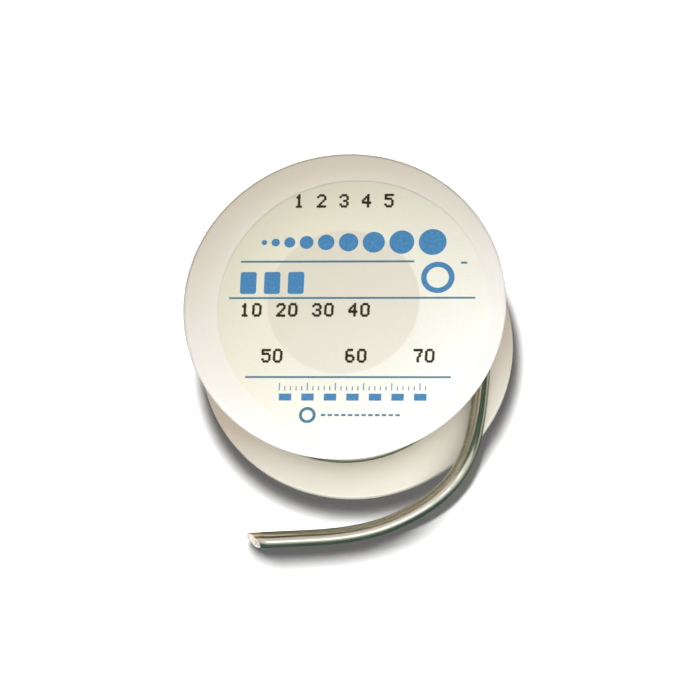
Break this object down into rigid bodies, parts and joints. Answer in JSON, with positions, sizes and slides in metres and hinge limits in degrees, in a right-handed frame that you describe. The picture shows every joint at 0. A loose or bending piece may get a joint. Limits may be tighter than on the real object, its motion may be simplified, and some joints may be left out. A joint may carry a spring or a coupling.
{
  "type": "solder wire spool",
  "caption": "Small white plastic spool of thick solder wire, lying flat, with a round paper label over its bore and a loose wire end that reaches the table.",
  "frame": {"origin": "centre of the rear flange's outer face, on the table", "axes": "+Z along the spool's axis towards the labelled flange, +Y up on the label, +X right on the label"},
  "size_m": [0.058, 0.0679, 0.0261],
  "materials": {
    "white_plastic": "satin",
    "label_paper": "matte",
    "solder": "satin"
  },
  "bodies": {
    "root": {"rear_half": "white_plastic", "front_half": "white_plastic", "front_label": "label_paper", "solder_winding": "solder", "solder_loose_end": "solder"}
  },
  "joints": []
}
